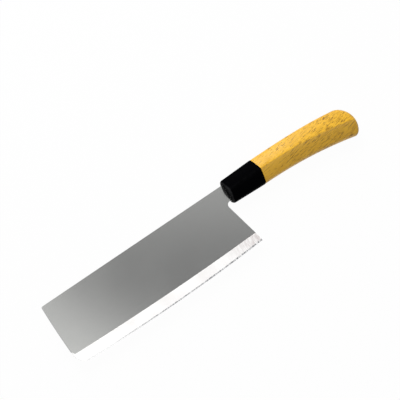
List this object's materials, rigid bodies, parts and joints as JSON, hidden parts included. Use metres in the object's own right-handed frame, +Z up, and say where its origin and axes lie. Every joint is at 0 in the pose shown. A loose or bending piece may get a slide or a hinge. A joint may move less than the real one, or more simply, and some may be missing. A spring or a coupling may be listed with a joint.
{
  "type": "chinese cleaver",
  "caption": "Light Chinese vegetable cleaver: straight-spined rectangular steel blade with ground edge, black collar and drooping ridged wooden grip on a hidden tang.",
  "frame": {"origin": "middle of the bounding box, on the level of the lower side ridge that the handle lies on", "axes": "+X from the blade to the butt, +Y from the cutting edge to the spine, +Z up through the flat of the blade"},
  "size_m": [0.3162, 0.0606, 0.0207],
  "materials": {
    "blade_steel": "fine satin sides, pale ground edge",
    "ferrule_plastic": "black, moulded, semi-matte",
    "grip_wood": "yellow, close-grained, short dark pores, satin lacquer",
    "tang_resin": "set resin, hidden"
  },
  "bodies": {
    "root": {"blade": "blade_steel", "ferrule": "ferrule_plastic", "grip": "grip_wood", "tang_adhesive": "tang_resin"}
  },
  "joints": []
}
